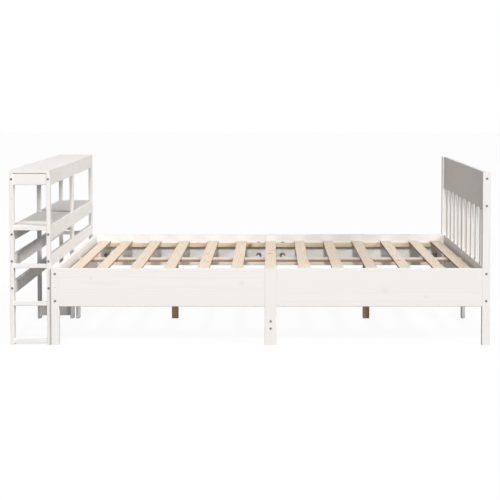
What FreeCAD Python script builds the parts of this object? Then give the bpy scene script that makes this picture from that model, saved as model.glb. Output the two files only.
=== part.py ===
"""Solid pine double bed with a slatted headboard, and an open bookcase at its low end.

Frame: +X runs from the bookcase to the headboard, +Z is up, and the origin is on the floor under
the middle of the overall length and width. Right (-Y) and left (+Y) are as seen by someone who
stands at the low end and looks at the headboard. All sizes are in millimetres.

The bed and the bookcase mirror about the plane Y = 0, so a pair is drawn on its right side and
mirrored. Long bolts with half-moon washers, in round pockets, draw the half rails against the
corner and middle legs. Socket screws hold the end boards in barrel nuts, and the bookcase rails and
the low stretcher in their end grain. Stub tenons hold the centre joints, rungs and headboard slats.

Fasteners and their holes have flat sides, with their true sizes across the flats, so that the many
small round pieces stay light.
"""
import FreeCAD, Part
import math
import os

V = FreeCAD.Vector
X_AXIS = V(1, 0, 0)
Y_AXIS = V(0, 1, 0)
Z_AXIS = V(0, 0, 1)

# Bed, overall
BED_LENGTH = 2055.0
BED_WIDTH = 1455.0
RAIL_TOP = 360.0
BOARD_HEIGHT = 178.0
HEADBOARD_HEIGHT = 811.0

# Bed legs, posts and boards
LEG_WIDTH = 38.0
LEG_DEPTH = 28.0
MIDDLE_LEG_WIDTH = 55.0
CENTRE_LEG_DEPTH = 40.0
RAIL_THICKNESS = 25.0
PANEL_THICKNESS = 18.0
EDGE_EASE = 1.5

# Stub tenons
TENON_SHOULDER = 3.0
TENON_GAP = 0.15
BOARD_TENON_LENGTH = 10.0
RUNG_TENON_LENGTH = 4.5

# Headboard slats
HEAD_SLATS_PER_BAY = 4
HEAD_SLAT_WIDTH = 33.0
HEAD_SLAT_THICKNESS = 15.0

# Slat base
SLAT_WIDTH = 58.0
SLAT_THICKNESS = 11.0
SLAT_DROP = 35.0
SLAT_PITCH = 165.0
SLAT_END_GAP = 20.0
SLAT_SIDE_GAP = 1.0
CLEAT_HEIGHT = 24.0
CLEAT_THICKNESS = 22.0
BEAM_WIDTH = 80.0
BEAM_THICKNESS = 14.0
BEAM_END_GAP = 1.0
LEDGER_LENGTH = 22.0
LEDGER_HEIGHT = 40.0
SUPPORT_LEG_SIZE = 34.0
SUPPORT_LEG_SPACING = 1000.0
STRETCHER_HEIGHT = 60.0
STRETCHER_THICKNESS = 18.0
STRETCHER_MIDDLE = 95.0

# Bookcase
CASE_GAP = 3.0
CASE_DEPTH = 188.0
CASE_SIDE_INSET = 7.5  # the case stands this far inside each side of the bed
CASE_WIDTH = BED_WIDTH - 2 * CASE_SIDE_INSET
CASE_HEIGHT = 822.0
CASE_POST_THICKNESS = 17.0
CASE_POST_DEPTH = 40.0
CASE_RAIL_HEIGHT = 58.0
TOP_BOARD_THICKNESS = 15.0
SHELF_TOP = 560.0
SHELF_THICKNESS = 12.0
SHELF_SETBACK = 1.0
SHELF_END_GAP = 1.0
MIDDLE_RAIL_LEVEL = 393.0
LOWER_RAIL_LEVEL = 266.0
RUNG_COUNT = 4
RUNG_HEIGHT = 20.0
RUNG_DEPTH = 18.0
RUNG_LOWEST = 17.0
RUNG_SETBACK = 2.0
FRAME_RAIL_HEIGHT = 52.0
FRAME_RAIL_GAP = 4.0
BOTTOM_TIE_CLEARANCE = 15.0
SHELF_TIE_GAP = 25.0

# Socket screws
SCREW_RADIUS = 3.0
SCREW_HOLE_GAP = 0.3
SCREW_HEAD_RADIUS = 5.25
SCREW_HEAD_HEIGHT = 3.6
COUNTERBORE_GAP = 0.5
COUNTERBORE_DEPTH = 4.4
SCREW_SPACING = 127.0
HEAD_PANEL_SCREW_DROP = 5.0
STRETCHER_SCREW_SPACING = 34.0
END_GRAIN_BITE = 30.0
PILOT_GAP = 0.1

# Barrel nuts
NUT_RADIUS = 5.0
NUT_LENGTH = 13.0
NUT_SETBACK = 32.0
NUT_HOLE_GAP = 0.2
SCREW_OVERRUN = 3.0

# Long bolts with half-moon washers, in round pockets on the inner face of the side rails
RAIL_BOLT_RADIUS = 4.0
RAIL_BOLT_HEAD_RADIUS = 6.5
RAIL_BOLT_HEAD_HEIGHT = 4.5
RAIL_BOLT_SPACING = 64.0
RAIL_BOLT_OVERRUN = 3.0
POCKET_RADIUS = 16.0
POCKET_DEPTH = 20.0
POCKET_SETBACK = 41.0
HALF_MOON_CHORD = 11.0
HALF_MOON_WIDTH = 14.0
HALF_MOON_GAP = 0.2
RAIL_NUT_FLATS = 13.0
RAIL_NUT_HEIGHT = 6.5

# Screws that tie the bookcase to the low end of the bed
LINK_SCREW_LEVELS = (70.0, 150.0)
LINK_SCREW_BITE = 26.0
LINK_SPACER_RADIUS = 8.0

# Number of flat sides of the small round pieces and their holes
SHANK_SIDES = 6
HEAD_SIDES = 8
POCKET_SIDES = 16

# Places that follow from the sizes
TOTAL_LENGTH = CASE_DEPTH + CASE_GAP + BED_LENGTH
CASE_BACK = -TOTAL_LENGTH / 2
CASE_FRONT = CASE_BACK + CASE_DEPTH
FOOT_END = CASE_FRONT + CASE_GAP
HEAD_END = FOOT_END + BED_LENGTH
BED_MIDDLE = (FOOT_END + HEAD_END) / 2
BED_SIDE = BED_WIDTH / 2
LEG_INNER = BED_SIDE - LEG_DEPTH
RAIL_INNER = BED_SIDE - RAIL_THICKNESS
RAIL_BOTTOM = RAIL_TOP - BOARD_HEIGHT
HEAD_PANEL_BOTTOM = HEADBOARD_HEIGHT - BOARD_HEIGHT
PANEL_INSET = (LEG_WIDTH - PANEL_THICKNESS) / 2
FOOT_PANEL = (FOOT_END + PANEL_INSET, FOOT_END + PANEL_INSET + PANEL_THICKNESS)
HEAD_PANEL = (HEAD_END - PANEL_INSET - PANEL_THICKNESS, HEAD_END - PANEL_INSET)
PANEL_SPAN = (-LEG_INNER, -CENTRE_LEG_DEPTH / 2)
SLAT_BOTTOM = RAIL_TOP - SLAT_DROP - SLAT_THICKNESS
BEAM_BOTTOM = SLAT_BOTTOM - BEAM_THICKNESS
CASE_SIDE = CASE_WIDTH / 2
CASE_RAIL_SPAN = (-CASE_SIDE + CASE_POST_DEPTH, -CASE_POST_DEPTH / 2)
FRONT_POST = (CASE_FRONT - CASE_POST_THICKNESS, CASE_FRONT)
BACK_POST = (CASE_BACK, CASE_BACK + CASE_POST_THICKNESS)
BETWEEN_POSTS = (BACK_POST[1], FRONT_POST[0])
POST_TOP = CASE_HEIGHT - TOP_BOARD_THICKNESS
SHELF_BOTTOM = SHELF_TOP - SHELF_THICKNESS
CASE_RAIL_LEVELS = {
    "case_top_rails": POST_TOP - CASE_RAIL_HEIGHT / 2,
    "case_shelf_rails": SHELF_BOTTOM - CASE_RAIL_HEIGHT / 2,
    "case_middle_rails": MIDDLE_RAIL_LEVEL,
    "case_lower_rails": LOWER_RAIL_LEVEL,
}


# Shapes

def middle(span):
    """The middle of a (low, high) pair."""
    return (span[0] + span[1]) / 2


def around(centre, size):
    """The (low, high) pair of a size centred on a place."""
    return (centre - size / 2, centre + size / 2)


def box(x, y, z):
    """A plain block between three (low, high) pairs."""
    return Part.makeBox(x[1] - x[0], y[1] - y[0], z[1] - z[0], V(x[0], y[0], z[0]))


def board(x, y, z, grain):
    """A block whose four edges along the grain are eased."""
    lows = V(x[0], y[0], z[0])
    sizes = V(x[1] - x[0], y[1] - y[0], z[1] - z[0])
    across = [axis for axis in (X_AXIS, Y_AXIS, Z_AXIS) if axis != grain]
    width = sizes.dot(across[0])
    thickness = sizes.dot(across[1])
    outline = [
        (EDGE_EASE, 0), (width - EDGE_EASE, 0),
        (width, EDGE_EASE), (width, thickness - EDGE_EASE),
        (width - EDGE_EASE, thickness), (EDGE_EASE, thickness),
        (0, thickness - EDGE_EASE), (0, EDGE_EASE), (EDGE_EASE, 0),
    ]
    corners = [lows + across[0] * u + across[1] * v for u, v in outline]
    return Part.Face(Part.makePolygon(corners)).extrude(grain * sizes.dot(grain))


def bar(start, axis, length, radius, sides=SHANK_SIDES):
    """A bar with an even number of flat sides, a radius in from its axis, one pair facing up and down."""
    up = X_AXIS if axis == Z_AXIS else Z_AXIS
    across = axis.cross(up)
    corner_radius = radius / math.cos(math.pi / sides)
    corners = []
    for step in range(sides + 1):
        angle = (2 * step + 1) * math.pi / sides
        corners.append(start + up * (corner_radius * math.cos(angle))
                       + across * (corner_radius * math.sin(angle)))
    return Part.Face(Part.makePolygon(corners)).extrude(axis * length)


def mirrored(shape):
    """The same piece on the other side of the bed."""
    return shape.mirror(V(0, 0, 0), Y_AXIS)


def both_sides(shapes):
    """The given pieces and their mirror images."""
    return shapes + [mirrored(shape) for shape in shapes]


def export(node, shapes):
    """Writes one piece, or a group of like pieces, as one file."""
    group = shapes[0] if len(shapes) == 1 else Part.makeCompound(shapes)
    group.exportStep("parts/" + node + ".step")


def export_pair(name, right_shape, end=""):
    """Writes a right piece and its mirror image as two files."""
    export(name + "_right" + end, [right_shape])
    export(name + "_left" + end, [mirrored(right_shape)])


# Stub tenons

def tenon(x, y, z, axis, length, gap=0.0):
    """A bar that stands out of both ends of a board along an axis; a gap makes it the mortise."""
    spans = []
    for span, direction in ((x, X_AXIS), (y, Y_AXIS), (z, Z_AXIS)):
        reach = length + gap if direction == axis else gap - TENON_SHOULDER
        spans.append((span[0] - reach, span[1] + reach))
    return box(spans[0], spans[1], spans[2])


def inner_tenon(x, y, z, gap=0.0):
    """A tenon at a right-hand board's inner end only, where it meets a centre leg or post."""
    both_ends = tenon(x, y, z, Y_AXIS, BOARD_TENON_LENGTH, gap)
    reach = BOARD_TENON_LENGTH + gap
    inner_half = box((x[0], x[1]), (middle(y), y[1] + reach), (z[0], z[1]))
    return both_ends.common(inner_half)


# Screws and barrel nuts

def screw(face, axis, grip):
    """A socket screw whose head lies in the counterbore at face, and whose tip is grip further in."""
    seat = face + axis * COUNTERBORE_DEPTH
    head = bar(seat - axis * SCREW_HEAD_HEIGHT, axis, SCREW_HEAD_HEIGHT, SCREW_HEAD_RADIUS, HEAD_SIDES)
    return head.fuse(bar(seat, axis, grip - COUNTERBORE_DEPTH, SCREW_RADIUS))


def screw_hole(face, axis, depth):
    """The counterbore and clearance hole that a screw needs through a leg or post."""
    through = bar(face, axis, depth, SCREW_RADIUS + SCREW_HOLE_GAP)
    recess_radius = SCREW_HEAD_RADIUS + COUNTERBORE_GAP
    return through.fuse(bar(face, axis, COUNTERBORE_DEPTH, recess_radius, HEAD_SIDES))


def pilot_hole(end):
    """The hole for a screw in the end grain at a right-hand piece's outer end."""
    return bar(end, Y_AXIS, END_GRAIN_BITE + SCREW_OVERRUN, SCREW_RADIUS + PILOT_GAP)


def nut_bottom(end, inward, drilled_side):
    """The blind end of a barrel nut's hole, under the middle of a board's end."""
    return end + inward * NUT_SETBACK - drilled_side * (NUT_LENGTH / 2)


def nut_holes(end, inward, drilled_side):
    """The end hole and the blind cross hole for a barrel nut, drilled in from one face of a board."""
    depth = NUT_SETBACK + NUT_RADIUS + 2 * SCREW_OVERRUN
    end_hole = bar(end, inward, depth, SCREW_RADIUS + SCREW_HOLE_GAP)
    cross_hole = bar(nut_bottom(end, inward, drilled_side), drilled_side, NUT_LENGTH + PANEL_THICKNESS,
                     NUT_RADIUS + NUT_HOLE_GAP)
    return end_hole.fuse(cross_hole)


def barrel_nut(end, inward, drilled_side):
    """The barrel nut that sits in nut_holes."""
    body = bar(nut_bottom(end, inward, drilled_side), drilled_side, NUT_LENGTH, NUT_RADIUS)
    return body.cut(bar(end, inward, 2 * NUT_SETBACK, SCREW_RADIUS + PILOT_GAP))


def barrel_nut_grip(leg_depth):
    """From the outer face of a leg to just past the barrel nut behind it."""
    return leg_depth + NUT_SETBACK + NUT_RADIUS + SCREW_OVERRUN


# Side rails and their long bolts, drawn on the right side

RAIL_BOLT_Y = -BED_SIDE + RAIL_THICKNESS / 2
RAIL_BOLT_LEVELS = around((RAIL_BOTTOM + RAIL_TOP) / 2, RAIL_BOLT_SPACING)
RAIL_SPANS = {
    "_foot": (FOOT_END + LEG_WIDTH, BED_MIDDLE - MIDDLE_LEG_WIDTH / 2),
    "_head": (BED_MIDDLE + MIDDLE_LEG_WIDTH / 2, HEAD_END - LEG_WIDTH),
}


def pocket_places(span):
    """The middle of each pocket of a half rail, with the direction from it to the nearer leg."""
    places = []
    for z in RAIL_BOLT_LEVELS:
        places.append((V(span[0] + POCKET_SETBACK, RAIL_BOLT_Y, z), -X_AXIS))
        places.append((V(span[1] - POCKET_SETBACK, RAIL_BOLT_Y, z), X_AXIS))
    return places


def side_rail(span):
    """A half rail with four round pockets in its inner face and a bolt hole into each."""
    rail = board(span, (-BED_SIDE, -RAIL_INNER), (RAIL_BOTTOM, RAIL_TOP), X_AXIS)
    for centre, to_leg in pocket_places(span):
        pocket_floor = V(centre.x, -RAIL_INNER - POCKET_DEPTH, centre.z)
        pocket = bar(pocket_floor, Y_AXIS, POCKET_DEPTH, POCKET_RADIUS, POCKET_SIDES)
        bolt_hole = bar(centre, to_leg, POCKET_SETBACK, RAIL_BOLT_RADIUS + SCREW_HOLE_GAP)
        rail = rail.cut(pocket.fuse(bolt_hole))
    return rail


def half_moon(centre, to_leg):
    """A round washer cut off at a chord, which beds against the wall of its pocket."""
    low = centre - Y_AXIS * (HALF_MOON_WIDTH / 2)
    disc = bar(low, Y_AXIS, HALF_MOON_WIDTH, POCKET_RADIUS - HALF_MOON_GAP, POCKET_SIDES)
    chord = centre.x + to_leg.x * HALF_MOON_CHORD
    rim = centre.x + to_leg.x * POCKET_RADIUS
    kept = box((min(chord, rim), max(chord, rim)), around(centre.y, HALF_MOON_WIDTH),
               around(centre.z, 2 * POCKET_RADIUS))
    hole = bar(centre, to_leg, POCKET_RADIUS, RAIL_BOLT_RADIUS + PILOT_GAP)
    return disc.common(kept).cut(hole)


def rail_nut(centre, to_leg):
    """The hexagon nut that pulls on a half-moon washer."""
    start = centre + to_leg * (HALF_MOON_CHORD - RAIL_NUT_HEIGHT)
    body = bar(start, to_leg, RAIL_NUT_HEIGHT, RAIL_NUT_FLATS / 2, SHANK_SIDES)
    return body.cut(bar(start, to_leg, RAIL_NUT_HEIGHT, RAIL_BOLT_RADIUS + PILOT_GAP))


def corner_bolt_places():
    """The outer face point of each corner bolt, with the direction that it goes in."""
    places = []
    for z in RAIL_BOLT_LEVELS:
        places.append((V(FOOT_END, RAIL_BOLT_Y, z), X_AXIS))
        places.append((V(HEAD_END, RAIL_BOLT_Y, z), -X_AXIS))
    return places


def corner_bolt_hole(face, axis):
    """The counterbore and clearance hole of a corner bolt in a leg."""
    through = bar(face, axis, LEG_WIDTH, RAIL_BOLT_RADIUS + SCREW_HOLE_GAP)
    depth = RAIL_BOLT_HEAD_HEIGHT + COUNTERBORE_GAP
    return through.fuse(bar(face, axis, depth, RAIL_BOLT_HEAD_RADIUS + COUNTERBORE_GAP, HEAD_SIDES))


def corner_bolt(face, axis):
    """A bolt from the outer face of a corner leg to the middle of the pocket."""
    seat_depth = RAIL_BOLT_HEAD_HEIGHT + COUNTERBORE_GAP
    seat = face + axis * seat_depth
    length = LEG_WIDTH - seat_depth + POCKET_SETBACK - RAIL_BOLT_OVERRUN
    head = bar(seat - axis * RAIL_BOLT_HEAD_HEIGHT, axis, RAIL_BOLT_HEAD_HEIGHT,
               RAIL_BOLT_HEAD_RADIUS, HEAD_SIDES)
    return head.fuse(bar(seat, axis, length, RAIL_BOLT_RADIUS))


def middle_rod(z):
    """A threaded rod through a middle leg, from one half rail's pocket to the other's."""
    reach = MIDDLE_LEG_WIDTH / 2 + POCKET_SETBACK - RAIL_BOLT_OVERRUN
    return bar(V(BED_MIDDLE - reach, RAIL_BOLT_Y, z), X_AXIS, 2 * reach, RAIL_BOLT_RADIUS)


def make_side_rails():
    """Half rails, their bolts, rods, half-moon washers and nuts."""
    washers = []
    nuts = []
    for end, span in RAIL_SPANS.items():
        export_pair("side_rail", side_rail(span), end)
        for centre, to_leg in pocket_places(span):
            washers.append(half_moon(centre, to_leg))
            nuts.append(rail_nut(centre, to_leg))
    export("rail_bolts", both_sides([corner_bolt(face, axis) for face, axis in corner_bolt_places()]))
    export("rail_rods", both_sides([middle_rod(z) for z in RAIL_BOLT_LEVELS]))
    export("half_moon_washers", both_sides(washers))
    export("rail_nuts", both_sides(nuts))


# Low end, headboard and middle legs

class EndBoard:
    """One of the three boards of a bay of the low end or headboard, on the right side."""

    def __init__(self, x, bottom, drilled_side, screw_drop=0.0):
        self.x = x
        self.z = (bottom, bottom + BOARD_HEIGHT)
        self.drilled_side = drilled_side
        self.screw_levels = around(middle(self.z) - screw_drop, SCREW_SPACING)

    def solid(self):
        """The board with its inner tenon, and the holes for two barrel nuts at its outer end."""
        blank = board(self.x, PANEL_SPAN, self.z, Y_AXIS)
        blank = blank.fuse(inner_tenon(self.x, PANEL_SPAN, self.z))
        for end in self.outer_ends():
            blank = blank.cut(nut_holes(end, Y_AXIS, self.drilled_side))
        return blank

    def outer_ends(self):
        """The points of the board's outer end where its screws come in."""
        return [V(middle(self.x), PANEL_SPAN[0], z) for z in self.screw_levels]

    def outer_faces(self):
        """The points of the leg's outer face where the screws go in."""
        return [V(middle(self.x), -BED_SIDE, z) for z in self.screw_levels]

    def mortise(self):
        """The hole for the inner tenon in a centre leg."""
        return inner_tenon(self.x, PANEL_SPAN, self.z, TENON_GAP)


FOOT_BOARD = EndBoard(FOOT_PANEL, RAIL_BOTTOM, -X_AXIS)
HEAD_LOWER_BOARD = EndBoard(HEAD_PANEL, RAIL_BOTTOM, X_AXIS)
HEAD_PANEL_BOARD = EndBoard(HEAD_PANEL, HEAD_PANEL_BOTTOM, X_AXIS, HEAD_PANEL_SCREW_DROP)


def head_slat_spans():
    """The three spans of each of the right bay's headboard slats, between the two boards."""
    bay = PANEL_SPAN[1] - PANEL_SPAN[0]
    gap = (bay - HEAD_SLATS_PER_BAY * HEAD_SLAT_WIDTH) / (HEAD_SLATS_PER_BAY + 1)
    x = around(middle(HEAD_PANEL), HEAD_SLAT_THICKNESS)
    z = (HEAD_LOWER_BOARD.z[1], HEAD_PANEL_BOARD.z[0])
    spans = []
    for number in range(HEAD_SLATS_PER_BAY):
        low = PANEL_SPAN[0] + gap + number * (HEAD_SLAT_WIDTH + gap)
        spans.append((x, (low, low + HEAD_SLAT_WIDTH), z))
    return spans


def make_end_boards():
    """The boards of the low end and headboard, the headboard slats, the screws and barrel nuts."""
    slats = []
    lower_board = HEAD_LOWER_BOARD.solid()
    head_panel = HEAD_PANEL_BOARD.solid()
    for x, y, z in head_slat_spans():
        slats.append(board(x, y, z, Z_AXIS).fuse(tenon(x, y, z, Z_AXIS, BOARD_TENON_LENGTH)))
        mortises = tenon(x, y, z, Z_AXIS, BOARD_TENON_LENGTH, TENON_GAP)
        lower_board = lower_board.cut(mortises)
        head_panel = head_panel.cut(mortises)
    export("head_slats", both_sides(slats))
    export("head_lower_boards", both_sides([lower_board]))
    export_pair("head_panel", head_panel)
    export_pair("foot_board", FOOT_BOARD.solid())
    screws = []
    nuts = []
    for end_board in (FOOT_BOARD, HEAD_LOWER_BOARD, HEAD_PANEL_BOARD):
        for face in end_board.outer_faces():
            screws.append(screw(face, Y_AXIS, barrel_nut_grip(LEG_DEPTH)))
        for end in end_board.outer_ends():
            nuts.append(barrel_nut(end, Y_AXIS, end_board.drilled_side))
    return screws, nuts


def corner_leg(x, height, end_boards):
    """A corner leg or post on the right side, bored for its boards and its half rail."""
    leg = board(x, (-BED_SIDE, -LEG_INNER), (0, height), Z_AXIS)
    for end_board in end_boards:
        for face in end_board.outer_faces():
            leg = leg.cut(screw_hole(face, Y_AXIS, LEG_DEPTH))
    for face, axis in corner_bolt_places():
        if x[0] <= face.x <= x[1]:
            leg = leg.cut(corner_bolt_hole(face, axis))
    return leg


def centre_leg(x, height, end_boards):
    """A leg or post between the two halves of an end, mortised from both sides."""
    leg = board(x, around(0, CENTRE_LEG_DEPTH), (0, height), Z_AXIS)
    for end_board in end_boards:
        leg = leg.cut(end_board.mortise()).cut(mirrored(end_board.mortise()))
    return leg


def link_places():
    """Where each tie screw enters the right bookcase post on its way to the low-end leg."""
    y = -(CASE_SIDE + LEG_INNER) / 2
    return [V(FRONT_POST[0], y, z) for z in LINK_SCREW_LEVELS]


def link_bored(shape):
    """A bookcase post or low-end leg with its holes for the tie screws."""
    reach = CASE_POST_THICKNESS + CASE_GAP + LINK_SCREW_BITE
    for place in link_places():
        shape = shape.cut(bar(place, X_AXIS, reach, SCREW_RADIUS + SCREW_HOLE_GAP))
    return shape


def make_legs():
    """Corner legs, headboard posts and the centre leg and post."""
    foot_x = (FOOT_END, FOOT_END + LEG_WIDTH)
    head_x = (HEAD_END - LEG_WIDTH, HEAD_END)
    head_boards = (HEAD_LOWER_BOARD, HEAD_PANEL_BOARD)
    export_pair("foot_leg", link_bored(corner_leg(foot_x, RAIL_TOP, [FOOT_BOARD])))
    export_pair("head_post", corner_leg(head_x, HEADBOARD_HEIGHT, head_boards))
    export("foot_leg_centre", [centre_leg(FOOT_PANEL, RAIL_TOP, [FOOT_BOARD])])
    export("head_post_centre", [centre_leg(HEAD_PANEL, HEADBOARD_HEIGHT, head_boards)])


def make_middle_legs():
    """Middle legs, and the low stretcher that ties them together under the bed."""
    leg = board(around(BED_MIDDLE, MIDDLE_LEG_WIDTH), (-BED_SIDE, -LEG_INNER), (0, RAIL_TOP), Z_AXIS)
    for z in RAIL_BOLT_LEVELS:
        leg = leg.cut(bar(V(BED_MIDDLE - MIDDLE_LEG_WIDTH / 2, RAIL_BOLT_Y, z), X_AXIS,
                          MIDDLE_LEG_WIDTH, RAIL_BOLT_RADIUS + SCREW_HOLE_GAP))
    stretcher = board(around(BED_MIDDLE, STRETCHER_THICKNESS), (-LEG_INNER, LEG_INNER),
                      around(STRETCHER_MIDDLE, STRETCHER_HEIGHT), Y_AXIS)
    screws = []
    for z in around(STRETCHER_MIDDLE, STRETCHER_SCREW_SPACING):
        face = V(BED_MIDDLE, -BED_SIDE, z)
        hole = pilot_hole(V(BED_MIDDLE, -LEG_INNER, z))
        leg = leg.cut(screw_hole(face, Y_AXIS, LEG_DEPTH))
        stretcher = stretcher.cut(hole).cut(mirrored(hole))
        screws.append(screw(face, Y_AXIS, LEG_DEPTH + END_GRAIN_BITE))
    export_pair("middle_leg", leg)
    export("middle_stretcher", [stretcher])
    return screws


# Slat base

def slat_middles():
    """The middle of each slat along the bed: an even row, and one slat close to each end."""
    reach = (HEAD_PANEL[0] - FOOT_PANEL[1] - SLAT_WIDTH) / 2 - SLAT_END_GAP
    steps = int((reach - SLAT_WIDTH) / SLAT_PITCH)
    row = [number * SLAT_PITCH for number in range(-steps, steps + 1)]
    return [BED_MIDDLE + offset for offset in [-reach] + row + [reach]]


def make_slat_base():
    """Slats, the cleats on the side rails, and the centre beam with its legs and end ledgers."""
    slat_end = min(RAIL_INNER, LEG_INNER) - SLAT_SIDE_GAP
    slat_z = (SLAT_BOTTOM, SLAT_BOTTOM + SLAT_THICKNESS)
    for number, slat_middle in enumerate(slat_middles(), start=1):
        slat = board(around(slat_middle, SLAT_WIDTH), (-slat_end, slat_end), slat_z, Y_AXIS)
        export("bed_slat_%02d" % number, [slat])

    cleat_y = (-RAIL_INNER, -RAIL_INNER + CLEAT_THICKNESS)
    cleat_z = (SLAT_BOTTOM - CLEAT_HEIGHT, SLAT_BOTTOM)
    export("slat_cleats", both_sides([board(x, cleat_y, cleat_z, X_AXIS) for x in RAIL_SPANS.values()]))

    beam_x = (FOOT_PANEL[1] + BEAM_END_GAP, HEAD_PANEL[0] - BEAM_END_GAP)
    export("centre_beam", [board(beam_x, around(0, BEAM_WIDTH), (BEAM_BOTTOM, SLAT_BOTTOM), X_AXIS)])

    ledger_y = around(0, CENTRE_LEG_DEPTH)
    ledger_z = (BEAM_BOTTOM - LEDGER_HEIGHT, BEAM_BOTTOM)
    foot_ledger_x = (FOOT_PANEL[1], FOOT_PANEL[1] + LEDGER_LENGTH)
    head_ledger_x = (HEAD_PANEL[0] - LEDGER_LENGTH, HEAD_PANEL[0])
    export("beam_ledgers", [board(x, ledger_y, ledger_z, Y_AXIS) for x in (foot_ledger_x, head_ledger_x)])

    leg_y = around(0, SUPPORT_LEG_SIZE)
    legs = []
    for leg_middle in around(BED_MIDDLE, SUPPORT_LEG_SPACING):
        legs.append(board(around(leg_middle, SUPPORT_LEG_SIZE), leg_y, (0, BEAM_BOTTOM), Z_AXIS))
    export("support_legs", legs)


# Bookcase

def case_rail_spans(x, level):
    """The three spans of a long rail of the right bay."""
    return x, CASE_RAIL_SPAN, around(level, CASE_RAIL_HEIGHT)


def make_case_rails():
    """Long rails between the bookcase posts, and the screws into their outer ends."""
    screws = []
    for node, level in CASE_RAIL_LEVELS.items():
        rails = []
        for post_x in (FRONT_POST, BACK_POST):
            x, y, z = case_rail_spans(post_x, level)
            rail = board(x, y, z, Y_AXIS).fuse(inner_tenon(x, y, z))
            rails.append(rail.cut(pilot_hole(V(middle(x), y[0], level))))
            face = V(middle(x), -CASE_SIDE, level)
            screws.append(screw(face, Y_AXIS, CASE_POST_DEPTH + END_GRAIN_BITE))
        export(node, both_sides(rails))
    export("case_screws", both_sides(screws))


def cross_pieces():
    """The spans of the short pieces between front and back posts: end rungs, and three kinds of tie."""
    end_y = (-CASE_SIDE + RUNG_SETBACK, -CASE_SIDE + RUNG_SETBACK + RUNG_DEPTH)
    centre_y = around(0, CASE_POST_THICKNESS)
    rung_pitch = (SHELF_BOTTOM - RUNG_LOWEST) / (RUNG_COUNT - 1)
    top_z = (POST_TOP - FRAME_RAIL_GAP - FRAME_RAIL_HEIGHT, POST_TOP - FRAME_RAIL_GAP)
    shelf_tie_top = SHELF_BOTTOM - SHELF_TIE_GAP
    shelf_tie_z = (shelf_tie_top - CASE_RAIL_HEIGHT, shelf_tie_top)
    bottom_tie_z = (BOTTOM_TIE_CLEARANCE, BOTTOM_TIE_CLEARANCE + CASE_RAIL_HEIGHT)
    rungs = [(BETWEEN_POSTS, end_y, around(RUNG_LOWEST + number * rung_pitch, RUNG_HEIGHT))
             for number in range(RUNG_COUNT)]
    end_top = (BETWEEN_POSTS, end_y, top_z)
    centre_top = (BETWEEN_POSTS, centre_y, top_z)
    centre_ties = [(BETWEEN_POSTS, centre_y, bottom_tie_z), (BETWEEN_POSTS, centre_y, shelf_tie_z)]
    return rungs, end_top, centre_top, centre_ties


def tenoned(spans):
    """A short board between two posts, with a stub tenon at each end."""
    return board(*spans, X_AXIS).fuse(tenon(*spans, X_AXIS, RUNG_TENON_LENGTH))


def mortised(post, spans_list):
    """A post with the mortises for the given cross pieces."""
    for spans in spans_list:
        post = post.cut(tenon(*spans, X_AXIS, RUNG_TENON_LENGTH, TENON_GAP))
    return post


def case_end_post(x, cross_spans):
    """A right end post with its mortises and screw holes."""
    post = board(x, (-CASE_SIDE, -CASE_SIDE + CASE_POST_DEPTH), (0, POST_TOP), Z_AXIS)
    post = mortised(post, cross_spans)
    for level in CASE_RAIL_LEVELS.values():
        post = post.cut(screw_hole(V(middle(x), -CASE_SIDE, level), Y_AXIS, CASE_POST_DEPTH))
    return post


def case_centre_post(x, cross_spans):
    """A centre post with its mortises for cross pieces and for both bays' long rails."""
    post = board(x, around(0, CASE_POST_DEPTH), (0, POST_TOP), Z_AXIS)
    post = mortised(post, cross_spans)
    for level in CASE_RAIL_LEVELS.values():
        rail_mortise = inner_tenon(*case_rail_spans(x, level), TENON_GAP)
        post = post.cut(rail_mortise).cut(mirrored(rail_mortise))
    return post


def make_case_frames():
    """The three upright frames of the bookcase: posts, rungs and ties."""
    rungs, end_top, centre_top, centre_ties = cross_pieces()
    export("case_rungs", both_sides([tenoned(rung) for rung in rungs]))
    export("case_frame_top_rails", both_sides([tenoned(end_top)]) + [tenoned(centre_top)])
    export("case_centre_ties", [tenoned(tie) for tie in centre_ties])
    export_pair("case_post_front", link_bored(case_end_post(FRONT_POST, rungs + [end_top])))
    export_pair("case_post_back", case_end_post(BACK_POST, rungs + [end_top]))
    export("case_post_front_centre", [case_centre_post(FRONT_POST, centre_ties + [centre_top])])
    export("case_post_back_centre", [case_centre_post(BACK_POST, centre_ties + [centre_top])])


def make_case_boards():
    """The top board over the whole bookcase, and one shelf board in each bay."""
    top = board((CASE_BACK, CASE_FRONT), (-CASE_SIDE, CASE_SIDE), (POST_TOP, CASE_HEIGHT), Y_AXIS)
    export("case_top_board", [top])
    shelf_x = (CASE_BACK + SHELF_SETBACK, CASE_FRONT - SHELF_SETBACK)
    shelf_y = (CASE_RAIL_SPAN[0] + SHELF_END_GAP, CASE_RAIL_SPAN[1] - SHELF_END_GAP)
    export("case_shelf_boards", both_sides([board(shelf_x, shelf_y, (SHELF_BOTTOM, SHELF_TOP), Y_AXIS)]))


def make_links():
    """Screws and spacers that tie the bookcase posts to the low-end legs."""
    screws = []
    spacers = []
    shank_length = CASE_POST_THICKNESS + CASE_GAP + LINK_SCREW_BITE - SCREW_OVERRUN
    for place in link_places():
        face = place - X_AXIS * COUNTERBORE_DEPTH
        screws.append(screw(face, X_AXIS, shank_length + COUNTERBORE_DEPTH))
        ring_start = V(CASE_FRONT, place.y, place.z)
        ring = bar(ring_start, X_AXIS, CASE_GAP, LINK_SPACER_RADIUS)
        spacers.append(ring.cut(bar(ring_start, X_AXIS, CASE_GAP, SCREW_RADIUS + SCREW_HOLE_GAP)))
    export("link_screws", both_sides(screws))
    export("link_spacers", both_sides(spacers))


def main():
    """Builds every piece and writes the files."""
    os.makedirs("parts", exist_ok=True)
    make_side_rails()
    make_legs()
    screws, nuts = make_end_boards()
    screws += make_middle_legs()
    export("bed_screws", both_sides(screws))
    export("barrel_nuts", both_sides(nuts))
    make_slat_base()
    make_case_rails()
    make_case_frames()
    make_case_boards()
    make_links()


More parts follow.
